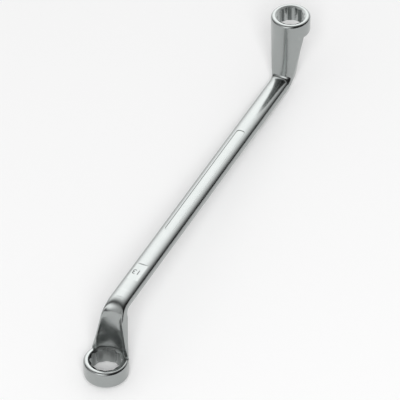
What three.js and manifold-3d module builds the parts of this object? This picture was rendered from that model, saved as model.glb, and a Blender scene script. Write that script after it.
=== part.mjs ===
// Double-ended offset ring spanner for 12 mm and 13 mm hexagons.
// The real tool is one forging: its ring heads, necks and handle are solids that meet face to face.
// Millimetres, +Z up. The tool lies on the lower edge of its 13 mm ring and on the bend of its 12 mm end.

import * as THREE from 'three';
import { mergeVertices } from 'three/addons/utils/BufferGeometryUtils.js';
import Module from 'manifold-3d';

const wasm = await Module();
wasm.setup();

// Handle
const HANDLE_WIDTH = 10.1;
const HANDLE_THICKNESS = 6.6;
const HANDLE_ROUNDNESS = 2.2;          // exponent of the oval section: 2 is an ellipse, more is squarer
const AXIS_SPAN = 197.7;               // between the two ring axes, along the handle

// Recesses pressed into the handle's faces
const PANEL_LENGTH = 78;
const PANEL_WIDTH = 4;
const PANEL_CORNER = 1.3;
const PANEL_DEPTH = 0.3;
const PANEL_SHIFT = 4.6;               // from the middle of the handle towards the far ring
const PAD_LENGTH = 11.2;
const PAD_DEPTH = 0.35;
const PAD_FROM_AXIS = 33;              // from the ring's axis to the middle of the pad

// Ring heads
const RING_HEIGHT = 8.7;
const RING_EDGE_RADIUS = 1.35;
const RING_13_DIAMETER = 20.5;
const RING_12_DIAMETER = 18.9;
const OFFSET_13 = 31.2;                // from the ring's free face to the handle's axis
const OFFSET_12 = 33.2;

// Twelve-point bores
const ACROSS_FLATS_13 = 13;
const ACROSS_FLATS_12 = 12;
const BORE_CLEARANCE = 0.1;            // on the width across flats
const BORE_POINTS = 12;
const BORE_TURN_13 = -5;               // degrees from the handle's line to a point of the bore
const BORE_TURN_12 = -7;
const LEAD_IN_MARGIN = 0.6;            // how far the bore's mouth lies outside its points
const LEAD_IN_DEPTH = 0.7;

// Necks, a tapering half tube from the ring's wall to the handle
const NECK_REACH = 20;                 // from the ring's axis to the end of the neck, along the handle
const NECK_LEAN_13 = 5;                // how far the outer face curves out between ring and handle
const NECK_LEAN_12 = 2.8;
const LIP_FOOT_13 = 4.2;               // from the ring's axis to the neck's lips, at the ring
const LIP_FOOT_12 = 3.9;
const LIP_LEAN_13 = 3;                 // how far the lips lean out between ring and handle
const LIP_LEAN_12 = 0.8;
const FLANK_ROUND = 1.2;               // of the edges of the neck's outer face, at the handle
const BEND_RADIUS = 9.5;               // of the convex side of the bend
const CREASE_RADIUS = 1.8;             // of the concave side of the bend
const SCOOP_LEAN = 0.8;                // how far the scoop's floor leans out between ring and handle
const SCOOP_RADIUS_TOP = 3.2;          // of the scoop's floor at the handle

// Facets
const ROUND_STEPS = 72;
const CORNER_STEPS = 5;
const WALL_STEPS = 8;                  // of half a section: outer face, rounded edge, and half of its top
const EDGE_STEPS = 5;
const CROWN_STEPS = 7;
const NECK_STEPS = 5;
const BEND_STEPS = 12;

// Small amounts that keep cutting tools clear of the faces they cut
const CUT_OVERRUN = 2;

const STEEL = new THREE.MeshStandardMaterial({ color: 0xc4c8c6, roughness: 0.28, metalness: 1 });

const radians = THREE.MathUtils.degToRad;

// Solids

function solidOf(geometry) {
  const bare = new THREE.BufferGeometry();
  bare.setAttribute('position', geometry.getAttribute('position'));
  if (geometry.index) {
    bare.setIndex(geometry.index);
  }
  const merged = mergeVertices(bare, 1e-4);
  const corners = merged.index.array;
  const kept = [];
  for (let i = 0; i < corners.length; i += 3) {
    const [a, b, c] = corners.slice(i, i + 3);
    if (a !== b && b !== c && c !== a) {
      kept.push(a, b, c);
    }
  }
  return new wasm.Manifold(new wasm.Mesh({
    numProp: 3,
    vertProperties: new Float32Array(merged.getAttribute('position').array),
    triVerts: new Uint32Array(kept),
  }));
}

function meshOf(name, solid) {
  const mesh = solid.getMesh();
  const geometry = new THREE.BufferGeometry();
  geometry.setAttribute('position', new THREE.BufferAttribute(mesh.vertProperties, 3));
  geometry.setIndex(new THREE.BufferAttribute(mesh.triVerts, 1));
  geometry.computeVertexNormals();
  const piece = new THREE.Mesh(geometry, STEEL);
  piece.name = name;
  return piece;
}

// A solid skin over rings of points that all have the same count, closed by a fan at each end.
function loft(rings) {
  const count = rings[0].length;
  const points = rings.flat();
  const index = [];
  for (let j = 0; j + 1 < rings.length; j += 1) {
    for (let i = 0; i < count; i += 1) {
      const a = j * count + i;
      const b = j * count + ((i + 1) % count);
      index.push(a, b, b + count, a, b + count, a + count);
    }
  }
  const last = (rings.length - 1) * count;
  for (let i = 1; i + 1 < count; i += 1) {
    index.push(0, i + 1, i, last, last + i, last + i + 1);
  }
  const geometry = new THREE.BufferGeometry().setFromPoints(points);
  geometry.setIndex(index);
  return geometry;
}

// A level circle of points at the height z, about a centre on the plane of symmetry.
function circle(centreX, radius, z) {
  return Array.from({ length: ROUND_STEPS }, (_, i) => {
    const angle = (i / ROUND_STEPS) * 2 * Math.PI;
    return new THREE.Vector3(centreX + radius * Math.cos(angle), radius * Math.sin(angle), z);
  });
}

function lathe(profile) {
  return new THREE.LatheGeometry(profile, ROUND_STEPS).rotateX(Math.PI / 2);
}

function box(lowest, highest) {
  const size = new THREE.Vector3().subVectors(highest, lowest);
  const middle = new THREE.Vector3().addVectors(lowest, highest).multiplyScalar(0.5);
  return new THREE.BoxGeometry(size.x, size.y, size.z).translate(middle.x, middle.y, middle.z);
}

// Handle

// Half the handle's oval from its lowest point to its highest: width from the middle, height as a share.
function handleHalf() {
  const power = 2 / HANDLE_ROUNDNESS;
  const steps = WALL_STEPS + EDGE_STEPS + 1 + CROWN_STEPS;
  return Array.from({ length: steps + 1 }, (_, i) => {
    const angle = (i / steps - 0.5) * Math.PI;
    const up = Math.sign(angle) * Math.abs(Math.sin(angle)) ** power;
    return new THREE.Vector2((Math.abs(Math.cos(angle)) ** power * HANDLE_WIDTH) / 2, (1 + up) / 2);
  });
}

// A closed section from its half: the other half is its mirror image.
function closed(half) {
  const mirrored = half.slice(1, -1).reverse().map((point) => new THREE.Vector2(-point.x, point.y));
  return [...half, ...mirrored];
}

function handleSection() {
  const points = closed(handleHalf());
  const place = (point) => new THREE.Vector2(point.x, (point.y - 0.5) * HANDLE_THICKNESS);
  return new THREE.Shape(points.map(place));
}

// A straight bar of the handle's section along X, from one place to another.
function bar(from, to) {
  const geometry = new THREE.ExtrudeGeometry(handleSection(), { depth: to - from, bevelEnabled: false });
  return geometry.rotateX(Math.PI / 2).rotateZ(Math.PI / 2).translate(from, 0, 0);
}

function panelCutter() {
  const x = PANEL_LENGTH / 2 - PANEL_CORNER;
  const y = PANEL_WIDTH / 2 - PANEL_CORNER;
  const quarter = Math.PI / 2;
  const outline = new THREE.Shape();
  outline.absarc(x, y, PANEL_CORNER, 0, quarter, false);
  outline.absarc(-x, y, PANEL_CORNER, quarter, 2 * quarter, false);
  outline.absarc(-x, -y, PANEL_CORNER, 2 * quarter, 3 * quarter, false);
  outline.absarc(x, -y, PANEL_CORNER, 3 * quarter, 4 * quarter, false);
  const geometry = new THREE.ExtrudeGeometry(outline, { depth: CUT_OVERRUN, bevelEnabled: false });
  return geometry.translate(PANEL_SHIFT, 0, HANDLE_THICKNESS / 2 - PANEL_DEPTH);
}

function padCutter() {
  const middle = PAD_FROM_AXIS - AXIS_SPAN / 2;
  const floor = HANDLE_THICKNESS / 2 - PAD_DEPTH;
  const lowest = new THREE.Vector3(middle - PAD_LENGTH / 2, -HANDLE_WIDTH, floor);
  const highest = new THREE.Vector3(middle + PAD_LENGTH / 2, HANDLE_WIDTH, floor + CUT_OVERRUN);
  return box(lowest, highest);
}

function handle() {
  const end = AXIS_SPAN / 2 - NECK_REACH;
  let solid = solidOf(bar(-end, end));
  for (const cutter of [panelCutter, padCutter]) {
    const above = cutter();
    const below = above.clone().rotateY(Math.PI);
    solid = solid.subtract(solidOf(above)).subtract(solidOf(below));
  }
  return meshOf('handle', solid);
}

// Heads, drawn with the ring's axis on Z, its free face at Z = 0 and the handle towards +X

function ringDisc(head) {
  const outer = head.radius;
  const edge = RING_EDGE_RADIUS;
  const profile = [new THREE.Vector2(0, 0)];
  for (let i = 0; i <= CORNER_STEPS; i += 1) {
    const angle = (i / CORNER_STEPS - 1) * (Math.PI / 2);
    profile.push(new THREE.Vector2(outer - edge + edge * Math.cos(angle), edge + edge * Math.sin(angle)));
  }
  for (let i = 0; i <= CORNER_STEPS; i += 1) {
    const angle = (i / CORNER_STEPS) * (Math.PI / 2);
    const up = RING_HEIGHT - edge + edge * Math.sin(angle);
    profile.push(new THREE.Vector2(outer - edge + edge * Math.cos(angle), up));
  }
  profile.push(new THREE.Vector2(0, RING_HEIGHT));
  return solidOf(lathe(profile));
}

// Two hexagons turned by half a side make twelve points and twelve inner corners.
function boreCutter(head) {
  const outline = new THREE.Shape();
  for (let i = 0; i < 2 * BORE_POINTS; i += 1) {
    const angle = radians(head.boreTurn) + (i / BORE_POINTS) * Math.PI;
    const radius = i % 2 === 0 ? head.pointRadius : head.cornerRadius;
    const place = [radius * Math.cos(angle), radius * Math.sin(angle)];
    if (i === 0) {
      outline.moveTo(...place);
    } else {
      outline.lineTo(...place);
    }
  }
  const depth = RING_HEIGHT + 2 * CUT_OVERRUN;
  const prism = new THREE.ExtrudeGeometry(outline, { depth, bevelEnabled: false });
  prism.translate(0, 0, -CUT_OVERRUN);
  return solidOf(prism).add(leadIn(head, 0, -1)).add(leadIn(head, RING_HEIGHT, 1));
}

// The cone that opens the bore at one face: direction is the way out of the ring.
function leadIn(head, face, direction) {
  const slope = (head.mouthRadius - head.cornerRadius) / LEAD_IN_DEPTH;
  const rings = [
    circle(0, head.cornerRadius, face - direction * LEAD_IN_DEPTH),
    circle(0, head.mouthRadius + slope * CUT_OVERRUN, face + direction * CUT_OVERRUN),
  ];
  return solidOf(loft(direction > 0 ? rings : rings.reverse()));
}

// The corner where two lines of the side view meet, rounded: each line is a point and a direction.
function roundCorner(first, second, radius) {
  const cross = first.direction.cross(second.direction);
  const between = new THREE.Vector2().subVectors(second.point, first.point);
  const distance = between.cross(second.direction) / cross;
  const corner = first.point.clone().addScaledVector(first.direction, distance);
  const turn = Math.acos(first.direction.dot(second.direction));
  const setback = radius * Math.tan(turn / 2);
  const start = corner.clone().addScaledVector(first.direction, -setback);
  const side = Math.sign(cross);
  const inward = new THREE.Vector2(-first.direction.y, first.direction.x).multiplyScalar(side);
  const centre = start.clone().addScaledVector(inward, radius);
  const startAngle = inward.angle() + Math.PI;
  const points = Array.from({ length: BEND_STEPS + 1 }, (_, i) => {
    const angle = startAngle + (side * turn * i) / BEND_STEPS;
    return new THREE.Vector2(centre.x + radius * Math.cos(angle), centre.y + radius * Math.sin(angle));
  });
  return { centre, points };
}

function lineThrough(from, to) {
  return { point: from, direction: new THREE.Vector2().subVectors(to, from).normalize() };
}

// The neck's side view as two lines of equally many places: along the lips, and along the outer face.
function neckLines(head) {
  const topEnd = new THREE.Vector2(NECK_REACH, head.offset + HANDLE_THICKNESS / 2);
  const underEnd = new THREE.Vector2(NECK_REACH, head.offset - HANDLE_THICKNESS / 2);
  const lipFoot = new THREE.Vector2(head.lipFoot, RING_HEIGHT);
  const outerFoot = new THREE.Vector2(head.radius, RING_HEIGHT);
  const lip = lineThrough(lipFoot, new THREE.Vector2(head.lipFoot + head.lipLean, head.offset));
  const outerMiddle = new THREE.Vector2(head.radius, (RING_HEIGHT + head.offset) / 2);
  const outer = lineThrough(outerMiddle, new THREE.Vector2(head.radius + head.neckLean, head.offset));
  const along = new THREE.Vector2(1, 0);
  const bend = roundCorner(lip, { point: topEnd, direction: along }, BEND_RADIUS);
  const crease = roundCorner(outer, { point: underEnd, direction: along }, CREASE_RADIUS);
  return {
    lips: [...straight(lipFoot, bend.points[0]), ...bend.points, topEnd],
    outside: [...curved(outerFoot, outerMiddle, crease.points[0]), ...crease.points, underEnd],
    bendCentre: bend.centre,
  };
}

// Places on a curve that starts and ends along the lines to a middle point, without its end.
function curved(from, middle, to) {
  return new THREE.QuadraticBezierCurve(from, middle, to).getPoints(NECK_STEPS).slice(0, -1);
}

// Places on a straight line, without its end.
function straight(from, to) {
  return Array.from({ length: NECK_STEPS }, (_, i) => from.clone().lerp(to, i / NECK_STEPS));
}

// Half the neck's section, counted as the handle's: the ring's round wall, a rounded edge, flank and top.
function neckHalf(head, width, round, thickness) {
  const edgeY = width - round;
  const reach = head.radius - round;
  const turn = Math.asin(edgeY / reach);
  const edgeIn = head.radius - reach * Math.cos(turn);
  const points = [];
  for (let i = 0; i <= WALL_STEPS; i += 1) {
    const angle = (turn * i) / WALL_STEPS;
    points.push(new THREE.Vector2(head.radius * Math.sin(angle), head.radius * (1 - Math.cos(angle))));
  }
  for (let i = 1; i <= EDGE_STEPS; i += 1) {
    const angle = THREE.MathUtils.lerp(turn, Math.PI / 2, i / EDGE_STEPS);
    points.push(new THREE.Vector2(edgeY + round * Math.sin(angle), edgeIn - round * Math.cos(angle)));
  }
  for (let i = 0; i <= CROWN_STEPS; i += 1) {
    points.push(new THREE.Vector2(width * (1 - i / CROWN_STEPS), thickness));
  }
  return points.map((point) => new THREE.Vector2(point.x, point.y / thickness));
}

// The neck without its scoop: sections from the ring's to the handle's, with a foot in the ring's edge.
function neckBody(head) {
  const { lips, outside } = neckLines(head);
  const ringWidth = Math.sqrt(head.radius ** 2 - head.lipFoot ** 2);
  const atHandle = handleHalf();
  const sections = lips.map((lip, k) => {
    const across = new THREE.Vector2().subVectors(lip, outside[k]);
    const middle = (lip.y + outside[k].y) / 2;
    const share = (middle - RING_HEIGHT) / (head.offset - RING_HEIGHT);
    const width = THREE.MathUtils.lerp(ringWidth, HANDLE_WIDTH / 2, share);
    const oval = THREE.MathUtils.smoothstep(k, NECK_STEPS, NECK_STEPS + BEND_STEPS);
    const half = neckHalf(head, width, share * FLANK_ROUND, across.length());
    return closed(half.map((point, i) => point.lerp(atHandle[i], oval))).map((point) => {
      const place = outside[k].clone().addScaledVector(across, point.y);
      return new THREE.Vector3(place.x, point.x, place.y);
    });
  });
  const footHeight = RING_HEIGHT - RING_EDGE_RADIUS;
  const foot = sections[0].map((point) => new THREE.Vector3(point.x, point.y, footHeight));
  return solidOf(loft([foot, ...sections]));
}

// A leaning, tapering round solid between the ring and a height above the handle.
function taper(head, radiusLow, radiusHigh, outerLow, outerHigh, low, high) {
  const at = (z) => {
    const share = (z - RING_HEIGHT) / (head.offset - RING_HEIGHT);
    const radius = THREE.MathUtils.lerp(radiusLow, radiusHigh, share);
    return circle(THREE.MathUtils.lerp(outerLow, outerHigh, share) - radius, radius, z);
  };
  return solidOf(loft([at(low), at(high)]));
}

// The trough that continues the bore up the inside of the neck.
function scoop(head) {
  const low = RING_HEIGHT - CUT_OVERRUN;
  const high = head.offset + HANDLE_THICKNESS;
  const floor = head.mouthRadius;
  return taper(head, head.mouthRadius, SCOOP_RADIUS_TOP, floor, floor + SCOOP_LEAN, low, high);
}

// All that lies under the ring's upper face.
function belowFace(head) {
  const reach = 4 * head.radius;
  return solidOf(box(
    new THREE.Vector3(-reach, -reach, -CUT_OVERRUN),
    new THREE.Vector3(reach, reach, RING_HEIGHT),
  ));
}

function makeHead(head) {
  const body = neckBody(head);
  const under = belowFace(head);
  const ring = ringDisc(head).add(body.intersect(under)).subtract(boreCutter(head));
  const neck = body.subtract(under).subtract(scoop(head));
  const group = new THREE.Group();
  for (const piece of [meshOf(`ring_${head.size}`, ring), meshOf(`neck_${head.size}`, neck)]) {
    piece.position.z = -head.offset;
    group.add(piece);
  }
  return group;
}

function headSizes(size, diameter, acrossFlats, offset, boreTurn, neck) {
  const flats = acrossFlats + BORE_CLEARANCE;
  const pointRadius = flats / Math.sqrt(3);
  const cornerRadius = flats / 2 / Math.cos(Math.PI / BORE_POINTS);
  const mouthRadius = pointRadius + LEAD_IN_MARGIN;
  const radius = diameter / 2;
  return { size, radius, offset, boreTurn, pointRadius, cornerRadius, mouthRadius, ...neck };
}

const near = headSizes(13, RING_13_DIAMETER, ACROSS_FLATS_13, OFFSET_13, BORE_TURN_13, {
  lipFoot: LIP_FOOT_13,
  lipLean: LIP_LEAN_13,
  neckLean: NECK_LEAN_13,
});
const far = headSizes(12, RING_12_DIAMETER, ACROSS_FLATS_12, OFFSET_12, BORE_TURN_12, {
  lipFoot: LIP_FOOT_12,
  lipLean: LIP_LEAN_12,
  neckLean: NECK_LEAN_12,
});

// Assembly

// How far the tool tips to lie on the near ring's edge and the far bend: the line that touches both below.
function restAngle() {
  const nearEdge = new THREE.Vector2(
    near.radius - RING_EDGE_RADIUS - AXIS_SPAN / 2,
    RING_EDGE_RADIUS - near.offset,
  );
  const { bendCentre } = neckLines(far);
  const farBend = new THREE.Vector2(AXIS_SPAN / 2 - bendCentre.x, far.offset - bendCentre.y);
  const between = new THREE.Vector2().subVectors(farBend, nearEdge);
  return between.angle() - Math.asin((BEND_RADIUS - RING_EDGE_RADIUS) / between.length());
}

const nearHead = makeHead(near);
nearHead.position.x = -AXIS_SPAN / 2;

const farHead = makeHead(far);
farHead.position.x = AXIS_SPAN / 2;
farHead.rotation.y = Math.PI;

const lying = new THREE.Group();
lying.add(nearHead, handle(), farHead);
lying.rotation.y = restAngle();

const spanner = new THREE.Group();
spanner.add(lying);
spanner.updateMatrixWorld(true);
const extent = new THREE.Box3().setFromObject(spanner, true);
lying.position.set(-(extent.min.x + extent.max.x) / 2, -(extent.min.y + extent.max.y) / 2, -extent.min.z);

export default spanner;
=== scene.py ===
"""Visual model of a double-ended offset ring spanner in satin chrome.

Shapes are drawn in millimetres: heads with the ring's axis on Z and the handle towards +X,
and the handle along X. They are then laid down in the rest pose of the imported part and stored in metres.
"""
import math

import bmesh
import bpy
import numpy as np
from mathutils import Matrix, Vector


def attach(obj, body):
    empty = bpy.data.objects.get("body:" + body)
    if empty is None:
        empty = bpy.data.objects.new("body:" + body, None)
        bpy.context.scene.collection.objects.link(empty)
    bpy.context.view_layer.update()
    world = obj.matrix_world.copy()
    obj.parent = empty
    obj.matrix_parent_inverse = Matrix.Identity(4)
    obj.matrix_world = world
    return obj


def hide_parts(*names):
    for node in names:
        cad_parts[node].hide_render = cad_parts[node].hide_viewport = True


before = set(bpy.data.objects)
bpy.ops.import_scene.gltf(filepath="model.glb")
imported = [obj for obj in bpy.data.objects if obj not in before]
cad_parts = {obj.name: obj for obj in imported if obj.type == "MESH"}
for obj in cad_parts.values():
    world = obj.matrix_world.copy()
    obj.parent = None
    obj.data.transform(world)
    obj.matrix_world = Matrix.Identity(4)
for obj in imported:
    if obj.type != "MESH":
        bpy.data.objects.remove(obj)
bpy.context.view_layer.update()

METRES = 0.001

# Handle, whose roundness is the exponent of its oval
HANDLE_WIDTH = 10.1
HANDLE_THICKNESS = 6.6
HANDLE_ROUNDNESS = 2.2
AXIS_SPAN = 197.7

# Recesses in the handle's faces
PANEL_LENGTH = 78.0
PANEL_WIDTH = 4.0
PANEL_CORNER = 1.3
PANEL_DEPTH = 0.28
PANEL_SHIFT = 4.6
PANEL_WALL = 0.36
PAD_LENGTH = 11.2
PAD_DEPTH = 0.35
PAD_FROM_AXIS = 33.0
PAD_WALL = 0.2
PAD_SOFTNESS = 0.1

# Size marks
MARK_HEIGHT = 4.2
MARK_RELIEF = 0.03
MARK_SHIFT = 0.5

# Rings, with angles in degrees
RING_HEIGHT = 8.7
RING_EDGE_RADIUS = 1.35
BORE_CLEARANCE = 0.1
POINT_PITCH = 30.0
POINT_ROUND = 1.0
CORNER_ROUND = 0.8
LEAD_IN_MARGIN = 0.6
LEAD_IN_DEPTH = 0.7
MOUTH_ROUND = 0.16
EDGE_UNDER_NECK = 0.01
EDGE_FADE_INSIDE = 5.0
EDGE_FADE_OUTSIDE = 3.0

# Necks
NECK_REACH = 20.0
FLANK_ROUND = 1.2
BEND_RADIUS = 9.5
CREASE_RADIUS = 1.8

# Lips of the necks: shares are of the neck's height, the angle is on the handle's oval
LIP_WALL = 0.85
LIP_WALL_REACH = 0.35
LIP_ROUND_RING = 0.3
LIP_ROUND_HANDLE = 1.3
LIP_ON_OVAL = 40.0

# Rounding of a lip, in multiples of its radius, and how steeply it fades out
SOFTEN_SPREAD = 0.6
SOFTEN_REACH = 2.0
SOFTEN_FADE = 4

# Scoops of the necks
SCOOP_LEAN = 0.8
SCOOP_BEND = 7.0
SCOOP_FULLNESS = 1.06
SCOOP_EDGE = 0.28
SCOOP_SHALLOW = 0.002
SCOOP_OVERRUN = 0.01
SCOOP_LEAVES = 0.2

# Rest pose: how far the tool tips, in radians, and where its middle then lies
REST_ANGLE = 0.157707
REST_SHIFT = (0.238, 0.0, 16.6984)

# Metal: each noise is a scale, a detail and a roughness
CHROME_DARK = (0.35, 0.37, 0.365)
CHROME_LIGHT = (0.39, 0.405, 0.40)
CHROME_ROUGHNESS = (0.17, 0.25)
CHROME_GRAIN = 0.08
ETCHED_DARK = (0.07, 0.073, 0.073)
ETCHED_LIGHT = (0.11, 0.114, 0.114)
ETCHED_ROUGHNESS = (0.35, 0.5)
ETCHED_GRAIN = 0.4
CLOUD_NOISE = (140.0, 4.0, 0.6)
STREAK_NOISE = (1.0, 5.0, 0.65)
STREAK_STRETCH = (120.0, 1500.0, 900.0)
STREAK_RANGE = (0.3, 0.7)
GRAIN_NOISE = (2600.0, 3.0, 0.7)
GRAIN_HEIGHT = 0.00002
WEAR_RANGE = (0.52, 0.85)
WEAR_BRIGHTENS = 1.25

# Sockets of a colour mix
MIX_SHARE = 0
MIX_FIRST = 6
MIX_SECOND = 7
MIX_RESULT = 2

# The photograph's camera, in the handle's frame
CAMERA_AIM = (-6.25, -2.39, 0.0)
CAMERA_DISTANCE = 1617.0
CAMERA_AZIMUTH = 26.42
CAMERA_ELEVATION = 40.91
CAMERA_ROLL = -0.91
CAMERA_LENS = 315.0
SENSOR = 36.0

# Studio, with lengths in metres
CAMERA_NEAREST = 0.05
CAMERA_FARTHEST = 50.0
FLOOR_REACH = 12.0
FLOOR_COLOUR = (0.96, 0.96, 0.96)
FLOOR_ROUGHNESS = 0.9
STUDIO_RADIUS = 5.0
STUDIO_FOOT = -0.01
STUDIO_DIM = 0.03
FILL_LIGHT = 7.7
FILL_SIZE = 1.6
FILL_DISTANCE = 3.2
WORLD_LIGHT = 0.56

# Lamps on the studio's walls: direction, strength, and the angles in degrees where it starts and ends fading
LAMP_BEYOND = ((0.76, 0.39, 0.52), 2.3, 5.0, 70.0)
LAMP_LEFT = ((-0.72, -0.06, 0.64), 1.45, 10.0, 34.0)
LAMP_SIDE = ((-0.82, 0.42, 0.34), 0.7, 12.0, 58.0)

# Facets: counts, shares of a wall's height, the angle of a sharp edge, and the metres that join points
RING_COLUMNS = 480
EDGE_STEPS = 12
MOUTH_STEPS = 5
WALL_SHARES = (0.25, 0.5, 0.75)
BORE_SHARES = (0.0, 0.33, 0.67, 1.0)
NECK_STEPS = 56
BEND_STEPS = 64
END_STEPS = 5
SCOOP_STEPS = 40
WALL_SAMPLES = 60
FLANK_SAMPLES = 24
WALL_POINTS = 60
CROWN_POINTS = 72
OVAL_POINTS = 34
BORDER_POINTS = 7
HANDLE_STATIONS = 160
PAD_STATIONS = 9
PANEL_STATIONS = 30
STATION_DIGITS = 4
STUDIO_COLUMNS = 64
STUDIO_ROWS = 32
SHARP_ANGLE = 32.0
JOIN_REACH = 1e-7


class Head:
    """The sizes of one ring head and its neck."""

    def __init__(self, diameter, across_flats, offset, bore_turn, lip_foot, lip_lean, neck_lean):
        flats = across_flats + BORE_CLEARANCE
        self.radius = diameter / 2
        self.offset = offset
        self.bore_turn = bore_turn
        self.lip_foot = lip_foot
        self.lip_lean = lip_lean
        self.neck_lean = neck_lean
        self.half_flats = flats / 2
        self.corner_radius = flats / 2 / math.cos(math.radians(POINT_PITCH / 2))
        self.mouth_radius = flats / math.sqrt(3) + LEAD_IN_MARGIN
        self.lip_angle = math.acos(lip_foot / self.radius)


NEAR = Head(
    diameter=20.5,
    across_flats=13.0,
    offset=31.2,
    bore_turn=-5.0,
    lip_foot=4.2,
    lip_lean=3.0,
    neck_lean=5.0,
)
FAR = Head(
    diameter=18.9,
    across_flats=12.0,
    offset=33.2,
    bore_turn=-7.0,
    lip_foot=3.9,
    lip_lean=0.8,
    neck_lean=2.8,
)


# Placing

def near_place(points):
    return points + np.array([-AXIS_SPAN / 2, 0.0, -NEAR.offset])


def far_place(points):
    turned = points * np.array([-1.0, 1.0, -1.0])
    return turned + np.array([AXIS_SPAN / 2, 0.0, FAR.offset])


def rest_rotation():
    return Matrix.Rotation(REST_ANGLE, 3, "Y")


def to_rest(points):
    turned = points @ np.array(rest_rotation()).T
    return (turned + np.array(REST_SHIFT)) * METRES


# Small mathematics

def smooth_step(low, high, x):
    share = np.clip((x - low) / (high - low), 0.0, 1.0)
    return share * share * (3 - 2 * share)


def smooth_min(a, b, softness):
    share = np.clip(0.5 + 0.5 * (b - a) / softness, 0.0, 1.0)
    return b + (a - b) * share - softness * share * (1 - share)


def lerp(a, b, share):
    return a + (b - a) * share


def path_lengths(points):
    """How far along a line each of its points lies."""
    steps = np.linalg.norm(np.diff(points, axis=0), axis=1)
    return np.concatenate([[0], np.cumsum(steps)])


# Meshes

def mark_sharp(mesh):
    """Joins coinciding points, shades smooth and keeps edges that turn by more than the sharp angle."""
    work = bmesh.new()
    work.from_mesh(mesh)
    bmesh.ops.remove_doubles(work, verts=work.verts, dist=JOIN_REACH)
    bmesh.ops.recalc_face_normals(work, faces=work.faces)
    for face in work.faces:
        face.smooth = True
    for edge in work.edges:
        if len(edge.link_faces) == 2 and edge.calc_face_angle(0.0) > math.radians(SHARP_ANGLE):
            edge.smooth = False
    work.to_mesh(mesh)
    work.free()


def mesh_object(name, points, faces):
    mesh = bpy.data.meshes.new(name)
    mesh.from_pydata([tuple(point) for point in to_rest(points)], [], faces)
    mark_sharp(mesh)
    piece = bpy.data.objects.new(name, mesh)
    bpy.context.scene.collection.objects.link(piece)
    return piece


def loft_faces(rows, columns):
    """Quads between closed rows of points, with a flat face at each end."""
    faces = []
    for row in range(rows - 1):
        for column in range(columns):
            a = row * columns + column
            b = row * columns + (column + 1) % columns
            faces.append((a, b, b + columns, a + columns))
    faces.append(tuple(reversed(range(columns))))
    faces.append(tuple(range((rows - 1) * columns, rows * columns)))
    return faces


def torus_faces(columns, rows):
    """Quads over columns that close around the ring and rows that close around its section."""
    faces = []
    for column in range(columns):
        here = column * rows
        beside = (column + 1) % columns * rows
        for row in range(rows):
            above = (row + 1) % rows
            faces.append((here + row, beside + row, beside + above, here + above))
    return faces


# Rings

def bore_radius(head, angle):
    """The twelve-point bore's radius at each angle, with softened points and inner corners."""
    step = math.radians(POINT_PITCH)
    from_point = np.abs((angle - math.radians(head.bore_turn) + step / 2) % step - step / 2)
    softened = np.sqrt(from_point ** 2 + math.radians(POINT_ROUND) ** 2)
    to_corner = step / 2 - softened
    softened = step / 2 - np.sqrt(to_corner ** 2 + math.radians(CORNER_ROUND) ** 2)
    return head.half_flats / np.cos(step - softened)


def upper_edge(head, angle):
    """The radius of the upper outer edge, which ends where the neck rises from the wall."""
    turn = np.abs((angle + math.pi) % (2 * math.pi) - math.pi)
    hidden = head.lip_angle - math.radians(EDGE_FADE_INSIDE)
    full = head.lip_angle + math.radians(EDGE_FADE_OUTSIDE)
    shown = smooth_step(hidden, full, turn)
    return EDGE_UNDER_NECK + (RING_EDGE_RADIUS - EDGE_UNDER_NECK) * shown


def mouth_rows(head):
    """The rounded edge between a flat face and the lead-in: radius, and depth below the face."""
    slope = np.array([head.corner_radius - head.mouth_radius, LEAD_IN_DEPTH])
    slope = slope / np.linalg.norm(slope)
    edge = np.array([head.mouth_radius, 0.0])
    start = edge + np.array([MOUTH_ROUND, 0.0])
    end = edge + slope * MOUTH_ROUND
    shares = np.linspace(0, 1, MOUTH_STEPS)
    return [start * (1 - t) ** 2 + edge * 2 * t * (1 - t) + end * t ** 2 for t in shares]


def outer_rows(head, angle):
    """The ring's outer side from the lower face to the upper one."""
    ones = np.ones_like(angle)
    radius = head.radius
    edge = RING_EDGE_RADIUS
    top_edge = upper_edge(head, angle)
    rows = []
    for turn in np.linspace(-math.pi / 2, 0, EDGE_STEPS):
        low_radius = ones * (radius - edge + edge * math.cos(turn))
        rows.append((low_radius, ones * (edge + edge * math.sin(turn))))
    for share in WALL_SHARES:
        rows.append((ones * radius, lerp(edge, RING_HEIGHT - top_edge, share)))
    for turn in np.linspace(0, math.pi / 2, EDGE_STEPS):
        top_radius = radius - top_edge + top_edge * math.cos(turn)
        rows.append((top_radius, RING_HEIGHT - top_edge + top_edge * math.sin(turn)))
    return rows


def bore_rows(head, angle):
    """The ring's bore from the upper face to the lower one, with its lead-ins."""
    ones = np.ones_like(angle)
    star = bore_radius(head, angle)
    depth = LEAD_IN_DEPTH * (head.mouth_radius - star) / (head.mouth_radius - head.corner_radius)
    mouth = mouth_rows(head)
    middle_radius = lerp(mouth[-1][0], star, 0.5)
    middle_depth = lerp(mouth[-1][1], depth, 0.5)
    rows = []
    for place in mouth:
        rows.append((ones * place[0], ones * (RING_HEIGHT - place[1])))
    rows.append((middle_radius, RING_HEIGHT - middle_depth))
    for share in BORE_SHARES:
        rows.append((star, lerp(RING_HEIGHT - depth, depth, share)))
    rows.append((middle_radius, middle_depth))
    for place in reversed(mouth):
        rows.append((ones * place[0], ones * place[1]))
    return rows


def make_ring(name, head, place):
    start = math.radians(head.bore_turn)
    angle = start + np.arange(RING_COLUMNS) * 2 * math.pi / RING_COLUMNS
    rows = outer_rows(head, angle) + bore_rows(head, angle)
    points = np.zeros((RING_COLUMNS, len(rows), 3))
    for index, (radius, height) in enumerate(rows):
        points[:, index, 0] = radius * np.cos(angle)
        points[:, index, 1] = radius * np.sin(angle)
        points[:, index, 2] = height
    return mesh_object(name, place(points.reshape(-1, 3)), torus_faces(RING_COLUMNS, len(rows)))


# Necks

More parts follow.
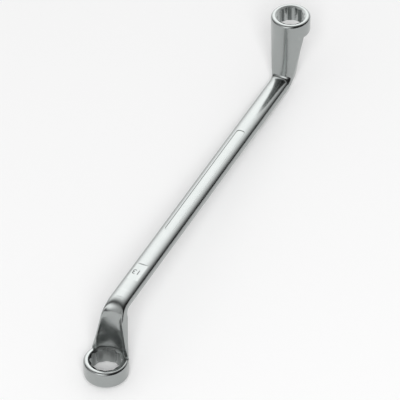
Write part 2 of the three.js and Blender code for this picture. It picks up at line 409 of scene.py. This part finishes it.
def round_corner(point, direction, other_point, other_direction, radius):
    """The arc that rounds the corner of two lines of the side view."""
    cross = direction[0] * other_direction[1] - direction[1] * other_direction[0]
    between = other_point - point
    along = (between[0] * other_direction[1] - between[1] * other_direction[0]) / cross
    corner = point + direction * along
    turn = math.acos(np.clip(direction @ other_direction, -1, 1))
    start = corner - direction * radius * math.tan(turn / 2)
    side = math.copysign(1.0, cross)
    inward = np.array([-direction[1], direction[0]]) * side
    centre = start + inward * radius
    first = math.atan2(-inward[1], -inward[0])
    angles = first + side * turn * np.linspace(0, 1, BEND_STEPS + 1)
    return centre + radius * np.stack([np.cos(angles), np.sin(angles)], 1)


def neck_lines(head):
    """The neck's side view as two lines of equally many places: along the lips and along the outer face."""
    half = HANDLE_THICKNESS / 2
    along = np.array([1.0, 0.0])
    top_end = np.array([NECK_REACH, head.offset + half])
    under_end = np.array([NECK_REACH, head.offset - half])
    lip_foot = np.array([head.lip_foot, RING_HEIGHT])
    lip_to = np.array([head.lip_foot + head.lip_lean, head.offset]) - lip_foot
    outer_foot = np.array([head.radius, RING_HEIGHT])
    outer_middle = np.array([head.radius, (RING_HEIGHT + head.offset) / 2])
    outer_to = np.array([head.radius + head.neck_lean, head.offset]) - outer_middle
    bend = round_corner(lip_foot, lip_to / np.linalg.norm(lip_to), top_end, along, BEND_RADIUS)
    crease = round_corner(outer_middle, outer_to / np.linalg.norm(outer_to), under_end, along, CREASE_RADIUS)
    share = (np.arange(NECK_STEPS) / NECK_STEPS)[:, None]
    lips = lerp(lip_foot, bend[0], share)
    outside = outer_foot * (1 - share) ** 2 + outer_middle * 2 * share * (1 - share) + crease[0] * share ** 2
    end = np.linspace(0, 1, END_STEPS)[1:, None]
    lips = np.concatenate([lips, bend, lerp(bend[-1], top_end, end)])
    outside = np.concatenate([outside, crease, lerp(crease[-1], under_end, end)])
    return lips, outside


def even_places(points, count):
    """The same line with evenly spread points."""
    length = path_lengths(points)
    at = np.linspace(0, length[-1], count)
    return np.stack([np.interp(at, length, points[:, k]) for k in range(2)], 1)


def soften_corner(points, index, radius):
    """Rounds the line near one of its points."""
    length = path_lengths(points)
    spread = SOFTEN_SPREAD * radius
    weight = np.exp(-((length[:, None] - length[None, :]) / spread) ** 2 / 2)
    spacing = np.gradient(length)
    weight = weight * spacing[None, :]
    rounded = (weight / weight.sum(1, keepdims=True)) @ points
    near = np.exp(-((length - length[index]) / (SOFTEN_REACH * radius)) ** SOFTEN_FADE)[:, None]
    return lerp(points, rounded, near)


def neck_half(head, width, edge_round, thickness, lip_round):
    """Half the neck's section: round outer face, rounded edge, flank, and the top between the lips."""
    reach = head.radius - edge_round
    turn = math.asin((width - edge_round) / reach)
    edge_in = head.radius - reach * math.cos(turn)
    wall_turn = np.linspace(0, turn, WALL_SAMPLES)
    wall = np.stack([head.radius * np.sin(wall_turn), head.radius * (1 - np.cos(wall_turn))], 1)
    edge_turn = np.linspace(turn, math.pi / 2, FLANK_SAMPLES)[1:]
    edge_y = width - edge_round + edge_round * np.sin(edge_turn)
    edge = np.stack([edge_y, edge_in - edge_round * np.cos(edge_turn)], 1)
    flank = np.array([[width, thickness]])
    outer = even_places(np.concatenate([wall, edge, flank]), WALL_POINTS)
    across = width * (1 - np.arange(1, CROWN_POINTS + 1) / CROWN_POINTS)
    top = np.stack([across, np.full(CROWN_POINTS, thickness)], 1)
    return soften_corner(np.concatenate([outer, top]), WALL_POINTS - 1, lip_round)


def handle_half():
    """Half the handle's oval, counted as the neck's section: width from the middle, and height as a share."""
    corner = math.radians(LIP_ON_OVAL)
    low = np.linspace(-math.pi / 2, corner, WALL_POINTS)
    high = np.linspace(corner, math.pi / 2, CROWN_POINTS + 1)[1:]
    angle = np.concatenate([low, high])
    power = 2 / HANDLE_ROUNDNESS
    width = np.abs(np.cos(angle)) ** power * HANDLE_WIDTH / 2
    width[0] = 0.0
    width[-1] = 0.0
    height = (1 + np.sign(angle) * np.abs(np.sin(angle)) ** power) / 2
    return np.stack([width, height], 1)


def scoop_line(head):
    """The scoop's lowest line in the side view, from the bore's mouth over the bend to the handle's top."""
    foot = np.array([head.mouth_radius, RING_HEIGHT])
    rise = np.array([SCOOP_LEAN, head.offset - RING_HEIGHT])
    top_end = np.array([NECK_REACH, head.offset + HANDLE_THICKNESS / 2])
    bend = round_corner(foot, rise / np.linalg.norm(rise), top_end, np.array([1.0, 0.0]), SCOOP_BEND)
    share = np.linspace(0, 1, SCOOP_STEPS)[:-1, None]
    start = foot - rise * SCOOP_OVERRUN
    return np.concatenate([lerp(start, bend[0], share), bend, top_end[None, :]])


def scoop_floor(line, outer, across):
    """How far in from the outer face the scoop's lowest line crosses one section."""
    beside = (line - outer) @ np.array([-across[1], across[0]])
    first = np.nonzero(beside[:-1] * beside[1:] <= 0)[0][0]
    part = beside[first] / (beside[first] - beside[first + 1])
    return float((lerp(line[first], line[first + 1], part) - outer) @ across)


def scoop_depth(head, width, thickness, share, floor, across):
    """How far in from the outer face the scoop lies across the neck, or twice the thickness beside it."""
    foot_lip = math.sqrt(head.mouth_radius ** 2 - head.lip_foot ** 2)
    foot_wall = math.sqrt(head.radius ** 2 - head.lip_foot ** 2) - foot_lip
    spread = smooth_step(0.0, LIP_WALL_REACH, share)
    half = width - lerp(foot_wall, LIP_WALL, spread)
    fullness = lerp(head.mouth_radius / foot_lip, SCOOP_FULLNESS, spread)
    rise = (thickness - floor) / (1 - math.sqrt(1 - 1 / fullness ** 2))
    inside = np.clip(1 - (across / (half * fullness)) ** 2, 0.0, 1.0)
    return np.where(inside > 0, floor + rise * (1 - np.sqrt(inside)), thickness * 2)


def neck_section(head, line, lip, outer, index):
    """One closed section of the neck as points in space."""
    span = lip - outer
    thickness = np.linalg.norm(span)
    across = span / thickness
    share = ((lip[1] + outer[1]) / 2 - RING_HEIGHT) / (head.offset - RING_HEIGHT)
    ring_width = math.sqrt(head.radius ** 2 - head.lip_foot ** 2)
    width = lerp(ring_width, HANDLE_WIDTH / 2, share)
    oval = float(smooth_step(NECK_STEPS, NECK_STEPS + BEND_STEPS, index))
    lip_round = lerp(LIP_ROUND_RING, LIP_ROUND_HANDLE, smooth_step(0.0, LIP_WALL_REACH, share))
    half = neck_half(head, width, max(share, 0.0) * FLANK_ROUND, thickness, lip_round)
    oval_half = handle_half() * np.array([1.0, thickness])
    half = lerp(half, oval_half, oval)
    floor = scoop_floor(line, outer, across)
    if floor < thickness - SCOOP_SHALLOW:
        depth = scoop_depth(head, width, thickness, share, floor, half[:, 0])
        cut = smooth_min(half[:, 1], depth, SCOOP_EDGE)
        half[:, 1] = np.where(half[:, 1] > SCOOP_LEAVES * thickness, cut, half[:, 1])
    mirrored = half[-2:0:-1] * np.array([-1.0, 1.0])
    outline = np.concatenate([half, mirrored])
    place = outer + outline[:, 1:2] * across
    return np.stack([place[:, 0], outline[:, 0], place[:, 1]], 1)


def make_neck(name, head, place):
    lips, outside = neck_lines(head)
    line = scoop_line(head)
    sections = [neck_section(head, line, lips[k], outside[k], k) for k in range(len(lips))]
    points = np.concatenate(sections)
    return mesh_object(name, place(points), loft_faces(len(sections), len(sections[0])))


# Handle

def handle_angles():
    """Angles around a quarter of the oval, closer together at the panel's borders."""
    half = HANDLE_WIDTH / 2
    even = np.linspace(0, math.pi / 2, OVAL_POINTS)
    border = PANEL_WIDTH / 2 + np.linspace(-PANEL_WALL, PANEL_WALL, BORDER_POINTS)
    extra = np.arcsin((border / half) ** (HANDLE_ROUNDNESS / 2))
    return np.unique(np.concatenate([even, extra]))


def handle_stations():
    """Places along the handle, closer together at the ends of its recesses."""
    end = AXIS_SPAN / 2 - NECK_REACH
    places = [np.linspace(-end, end, HANDLE_STATIONS)]
    pad = PAD_FROM_AXIS - AXIS_SPAN / 2
    pad_ramp = np.linspace(-PAD_WALL, PAD_WALL, PAD_STATIONS)
    panel_ramp = np.linspace(-PANEL_WALL, PANEL_CORNER + PANEL_WALL, PANEL_STATIONS)
    for side in (-1, 1):
        for tip in (-1, 1):
            places.append(side * (pad + tip * PAD_LENGTH / 2) + pad_ramp)
            tip_at = side * (PANEL_SHIFT + tip * PANEL_LENGTH / 2)
            places.append(tip_at - side * tip * panel_ramp)
    return np.unique(np.round(np.concatenate(places), STATION_DIGITS))


def recessed(x, y, height):
    """The handle's upper face, lowered by its panel and its pad."""
    outside_x = np.abs(x - PANEL_SHIFT) - (PANEL_LENGTH / 2 - PANEL_CORNER)
    outside_y = np.abs(y) - (PANEL_WIDTH / 2 - PANEL_CORNER)
    beyond = np.hypot(np.maximum(outside_x, 0), np.maximum(outside_y, 0))
    distance = beyond + np.minimum(np.maximum(outside_x, outside_y), 0) - PANEL_CORNER
    lowered = height - PANEL_DEPTH * smooth_step(PANEL_WALL / 2, -PANEL_WALL / 2, distance)
    pad_end = np.abs(x - (PAD_FROM_AXIS - AXIS_SPAN / 2)) - PAD_LENGTH / 2
    cut = smooth_step(PAD_WALL / 2, -PAD_WALL / 2, pad_end)
    floor = smooth_min(lowered, HANDLE_THICKNESS / 2 - PAD_DEPTH, PAD_SOFTNESS)
    return lerp(lowered, floor, cut)


def make_handle():
    power = 2 / HANDLE_ROUNDNESS
    angle = handle_angles()
    quarter_y = np.sin(angle) ** power * HANDLE_WIDTH / 2
    quarter_z = np.cos(angle).clip(0) ** power * HANDLE_THICKNESS / 2
    y = np.concatenate([quarter_y, quarter_y[-2::-1], -quarter_y[1:], -quarter_y[-2:0:-1]])
    z = np.concatenate([-quarter_z, quarter_z[-2::-1], quarter_z[1:], -quarter_z[-2:0:-1]])
    stations = handle_stations()
    x = np.repeat(stations[:, None], len(y), 1)
    y = np.repeat(y[None, :], len(stations), 0)
    z = np.repeat(z[None, :], len(stations), 0)
    z = np.where(z > 0, recessed(x, y, z), -recessed(-x, y, -z))
    points = np.stack([x, y, z], 2).reshape(-1, 3)
    return mesh_object("handle_bar", points, loft_faces(len(stations), x.shape[1]))


# Size marks

def number_mesh(name, text):
    """A plain number in low relief, in metres and centred."""
    curve = bpy.data.curves.new(name, "FONT")
    curve.body = text
    curve.size = MARK_HEIGHT * METRES
    curve.extrude = MARK_RELIEF * METRES
    curve.align_x = "CENTER"
    curve.align_y = "CENTER"
    letters = bpy.data.objects.new(name, curve)
    bpy.context.scene.collection.objects.link(letters)
    bpy.context.view_layer.update()
    mesh = bpy.data.meshes.new_from_object(letters)
    bpy.data.objects.remove(letters)
    return mesh


def make_mark(name, text, upper):
    """A size number on a pad, read from the far end of its face."""
    mesh = number_mesh(name, text)
    height = HANDLE_THICKNESS / 2 - PAD_DEPTH
    side = 1.0 if upper else -1.0
    along = (PAD_FROM_AXIS - AXIS_SPAN / 2) * side
    turn = Matrix((Vector((0, 1, 0)), Vector((-side, 0, 0)), Vector((0, 0, side)))).transposed()
    place = Vector((along, MARK_SHIFT, height * side))
    rest = rest_rotation()
    for vertex in mesh.vertices:
        laid = rest @ (turn @ vertex.co + place * METRES)
        vertex.co = laid + Vector(REST_SHIFT) * METRES
    piece = bpy.data.objects.new(name, mesh)
    bpy.context.scene.collection.objects.link(piece)
    return piece


# Materials

def node(tree, kind, **values):
    """A new node whose values go to its settings or, with spaces for underscores, to its inputs."""
    made = tree.nodes.new(kind)
    for key, value in values.items():
        if hasattr(made, key):
            setattr(made, key, value)
        else:
            made.inputs[key.replace("_", " ")].default_value = value
    return made


def noise(tree, place, scale, detail, roughness):
    made = node(tree, "ShaderNodeTexNoise", Scale=scale, Detail=detail, Roughness=roughness)
    tree.links.new(place, made.inputs["Vector"])
    return made.outputs["Fac"]


def spread_range(tree, value, low, high, to_low, to_high):
    """Maps one range of values onto another."""
    made = node(tree, "ShaderNodeMapRange", From_Min=low, From_Max=high, To_Min=to_low, To_Max=to_high)
    tree.links.new(value, made.inputs["Value"])
    return made.outputs["Result"]


def cloudy_colour(tree, place, dark, light):
    """A colour between dark and light in soft clouds."""
    mix = node(tree, "ShaderNodeMix", data_type="RGBA")
    mix.inputs[MIX_FIRST].default_value = (*dark, 1.0)
    mix.inputs[MIX_SECOND].default_value = (*light, 1.0)
    tree.links.new(noise(tree, place, *CLOUD_NOISE), mix.inputs[MIX_SHARE])
    return mix.outputs[MIX_RESULT]


def worn_colour(tree, colour, light):
    """The same colour, brighter on outer edges."""
    edge = node(tree, "ShaderNodeNewGeometry")
    wear = spread_range(tree, edge.outputs["Pointiness"], *WEAR_RANGE, 0.0, 1.0)
    bright = [min(1.0, value * WEAR_BRIGHTENS) for value in light]
    mix = node(tree, "ShaderNodeMix", data_type="RGBA")
    mix.inputs[MIX_SECOND].default_value = (*bright, 1.0)
    tree.links.new(wear, mix.inputs[MIX_SHARE])
    tree.links.new(colour, mix.inputs[MIX_FIRST])
    return mix.outputs[MIX_RESULT]


def streaked_gloss(tree, place, smooth, rough):
    """A roughness between smooth and rough in streaks along the tool."""
    stretch = node(tree, "ShaderNodeMapping", Scale=STREAK_STRETCH)
    tree.links.new(place, stretch.inputs["Vector"])
    streaks = noise(tree, stretch.outputs["Vector"], *STREAK_NOISE)
    return spread_range(tree, streaks, *STREAK_RANGE, smooth, rough)


def fine_grain(tree, place, strength):
    """The grain that polishing leaves."""
    bump = node(tree, "ShaderNodeBump", Strength=strength, Distance=GRAIN_HEIGHT)
    tree.links.new(noise(tree, place, *GRAIN_NOISE), bump.inputs["Height"])
    return bump.outputs["Normal"]


def metal(name, dark, light, roughness, grain):
    """Chromed steel: cloudy colour, streaked gloss, fine polishing grain, and brighter worn edges."""
    material = bpy.data.materials.new(name)
    material.use_nodes = True
    tree = material.node_tree
    shader = tree.nodes["Principled BSDF"]
    shader.inputs["Metallic"].default_value = 1.0
    place = node(tree, "ShaderNodeTexCoord").outputs["Object"]
    colour = worn_colour(tree, cloudy_colour(tree, place, dark, light), light)
    tree.links.new(colour, shader.inputs["Base Color"])
    tree.links.new(streaked_gloss(tree, place, *roughness), shader.inputs["Roughness"])
    tree.links.new(fine_grain(tree, place, grain), shader.inputs["Normal"])
    return material


def pale_floor():
    material = bpy.data.materials.new("pale_floor")
    material.use_nodes = True
    shader = material.node_tree.nodes["Principled BSDF"]
    shader.inputs["Base Color"].default_value = (*FLOOR_COLOUR, 1.0)
    shader.inputs["Roughness"].default_value = FLOOR_ROUGHNESS
    shader.inputs["Specular IOR Level"].default_value = 0.0
    return material


def soft_lobe(tree, place, direction, strength, core, reach):
    """The brightness of a soft lamp on the studio's walls, by the angle from its middle."""
    facing = node(tree, "ShaderNodeVectorMath", operation="DOT_PRODUCT")
    facing.inputs[1].default_value = Vector(direction).normalized() / STUDIO_RADIUS
    angle = node(tree, "ShaderNodeMath", operation="ARCCOSINE")
    level = node(tree, "ShaderNodeMapRange", interpolation_type="SMOOTHSTEP")
    level.inputs["From Min"].default_value = math.radians(core)
    level.inputs["From Max"].default_value = math.radians(reach)
    level.inputs["To Min"].default_value = strength
    level.inputs["To Max"].default_value = 0.0
    tree.links.new(place.outputs["Object"], facing.inputs[0])
    tree.links.new(facing.outputs["Value"], angle.inputs[0])
    tree.links.new(angle.outputs["Value"], level.inputs["Value"])
    return level.outputs["Result"]


def studio_paint():
    """The studio's walls: dim, with soft lamps beyond the object, left of the camera and on the left side."""
    material = bpy.data.materials.new("studio_walls")
    material.use_nodes = True
    tree = material.node_tree
    tree.nodes.remove(tree.nodes["Principled BSDF"])
    place = node(tree, "ShaderNodeTexCoord")
    glow = node(tree, "ShaderNodeEmission")
    level = soft_lobe(tree, place, *LAMP_BEYOND)
    for lamp in (LAMP_LEFT, LAMP_SIDE):
        total = node(tree, "ShaderNodeMath", operation="ADD")
        tree.links.new(level, total.inputs[0])
        tree.links.new(soft_lobe(tree, place, *lamp), total.inputs[1])
        level = total.outputs["Value"]
    walls = node(tree, "ShaderNodeMath", operation="ADD")
    walls.inputs[1].default_value = STUDIO_DIM
    tree.links.new(level, walls.inputs[0])
    tree.links.new(walls.outputs["Value"], glow.inputs["Strength"])
    tree.links.new(glow.outputs["Emission"], tree.nodes["Material Output"].inputs["Surface"])
    return material


# Studio

def camera_axes():
    """The camera's place and axes in the rest pose."""
    azimuth = math.radians(CAMERA_AZIMUTH)
    elevation = math.radians(CAMERA_ELEVATION)
    roll = math.radians(CAMERA_ROLL)
    level = math.cos(elevation)
    back = Vector((-math.cos(azimuth) * level, -math.sin(azimuth) * level, math.sin(elevation)))
    right = (-back).cross(Vector((0, 0, 1))).normalized()
    up = right.cross(-back)
    turned_right = right * math.cos(roll) + up * math.sin(roll)
    turned_up = up * math.cos(roll) - right * math.sin(roll)
    place = Vector(CAMERA_AIM) + back * CAMERA_DISTANCE
    rest = rest_rotation()
    place = (rest @ place + Vector(REST_SHIFT)) * METRES
    return place, rest @ turned_right, rest @ turned_up, rest @ back


def make_camera():
    place, right, up, back = camera_axes()
    data = bpy.data.cameras.new("photo_camera")
    data.lens = CAMERA_LENS
    data.sensor_width = SENSOR
    data.sensor_fit = "HORIZONTAL"
    data.clip_start = CAMERA_NEAREST
    data.clip_end = CAMERA_FARTHEST
    camera = bpy.data.objects.new("photo_camera", data)
    turn = Matrix((right, up, back)).transposed()
    camera.matrix_world = Matrix.Translation(place) @ turn.to_4x4()
    bpy.context.scene.collection.objects.link(camera)
    bpy.context.scene.camera = camera


def make_floor():
    mesh = bpy.data.meshes.new("floor")
    reach = FLOOR_REACH
    corners = [(-reach, -reach, 0), (reach, -reach, 0), (reach, reach, 0), (-reach, reach, 0)]
    mesh.from_pydata(corners, [], [(0, 1, 2, 3)])
    floor = bpy.data.objects.new("floor", mesh)
    floor.data.materials.append(pale_floor())
    bpy.context.scene.collection.objects.link(floor)


def fill_lamp(direction):
    """A soft lamp by the camera, so that the object's shadow falls behind it."""
    data = bpy.data.lights.new("fill", "AREA")
    data.size = FILL_SIZE
    data.energy = FILL_LIGHT * math.pi * FILL_SIZE ** 2
    lamp = bpy.data.objects.new("fill", data)
    lamp.location = direction * FILL_DISTANCE
    lamp.rotation_euler = direction.to_track_quat("Z", "Y").to_euler()
    lamp.visible_camera = False
    lamp.visible_glossy = False
    bpy.context.scene.collection.objects.link(lamp)


def studio_walls():
    """A dome around the set that only reflections see."""
    mesh = bpy.data.meshes.new("studio_walls")
    work = bmesh.new()
    bmesh.ops.create_uvsphere(work, u_segments=STUDIO_COLUMNS, v_segments=STUDIO_ROWS, radius=STUDIO_RADIUS)
    below = [vertex for vertex in work.verts if vertex.co.z < STUDIO_FOOT]
    bmesh.ops.delete(work, geom=below, context="VERTS")
    work.to_mesh(mesh)
    work.free()
    walls = bpy.data.objects.new("studio_walls", mesh)
    walls.data.materials.append(studio_paint())
    walls.visible_camera = False
    walls.visible_diffuse = False
    walls.visible_shadow = False
    bpy.context.scene.collection.objects.link(walls)


def make_world():
    world = bpy.data.worlds.new("studio")
    world.use_nodes = True
    background = world.node_tree.nodes["Background"]
    background.inputs["Color"].default_value = (1.0, 1.0, 1.0, 1.0)
    background.inputs["Strength"].default_value = WORLD_LIGHT
    bpy.context.scene.world = world


def make_studio():
    make_world()
    make_floor()
    studio_walls()
    fill_lamp(camera_axes()[3])


# Assembly

def dress(piece, material, *nodes):
    piece.data.materials.clear()
    piece.data.materials.append(material)
    if nodes:
        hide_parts(*nodes)
    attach(piece, "root")


def build():
    chrome = metal("satin_chrome", CHROME_DARK, CHROME_LIGHT, CHROME_ROUGHNESS, CHROME_GRAIN)
    etched = metal("etched_mark", ETCHED_DARK, ETCHED_LIGHT, ETCHED_ROUGHNESS, ETCHED_GRAIN)
    dress(make_ring("ring_13_head", NEAR, near_place), chrome, "ring_13")
    dress(make_neck("neck_13_stem", NEAR, near_place), chrome, "neck_13")
    dress(make_handle(), chrome, "handle")
    dress(make_neck("neck_12_stem", FAR, far_place), chrome, "neck_12")
    dress(make_ring("ring_12_head", FAR, far_place), chrome, "ring_12")
    dress(make_mark("size_mark_13", "13", True), etched)
    dress(make_mark("size_mark_12", "12", False), etched)


bpy.context.scene.view_settings.view_transform = "Standard"
make_camera()
make_studio()
build()
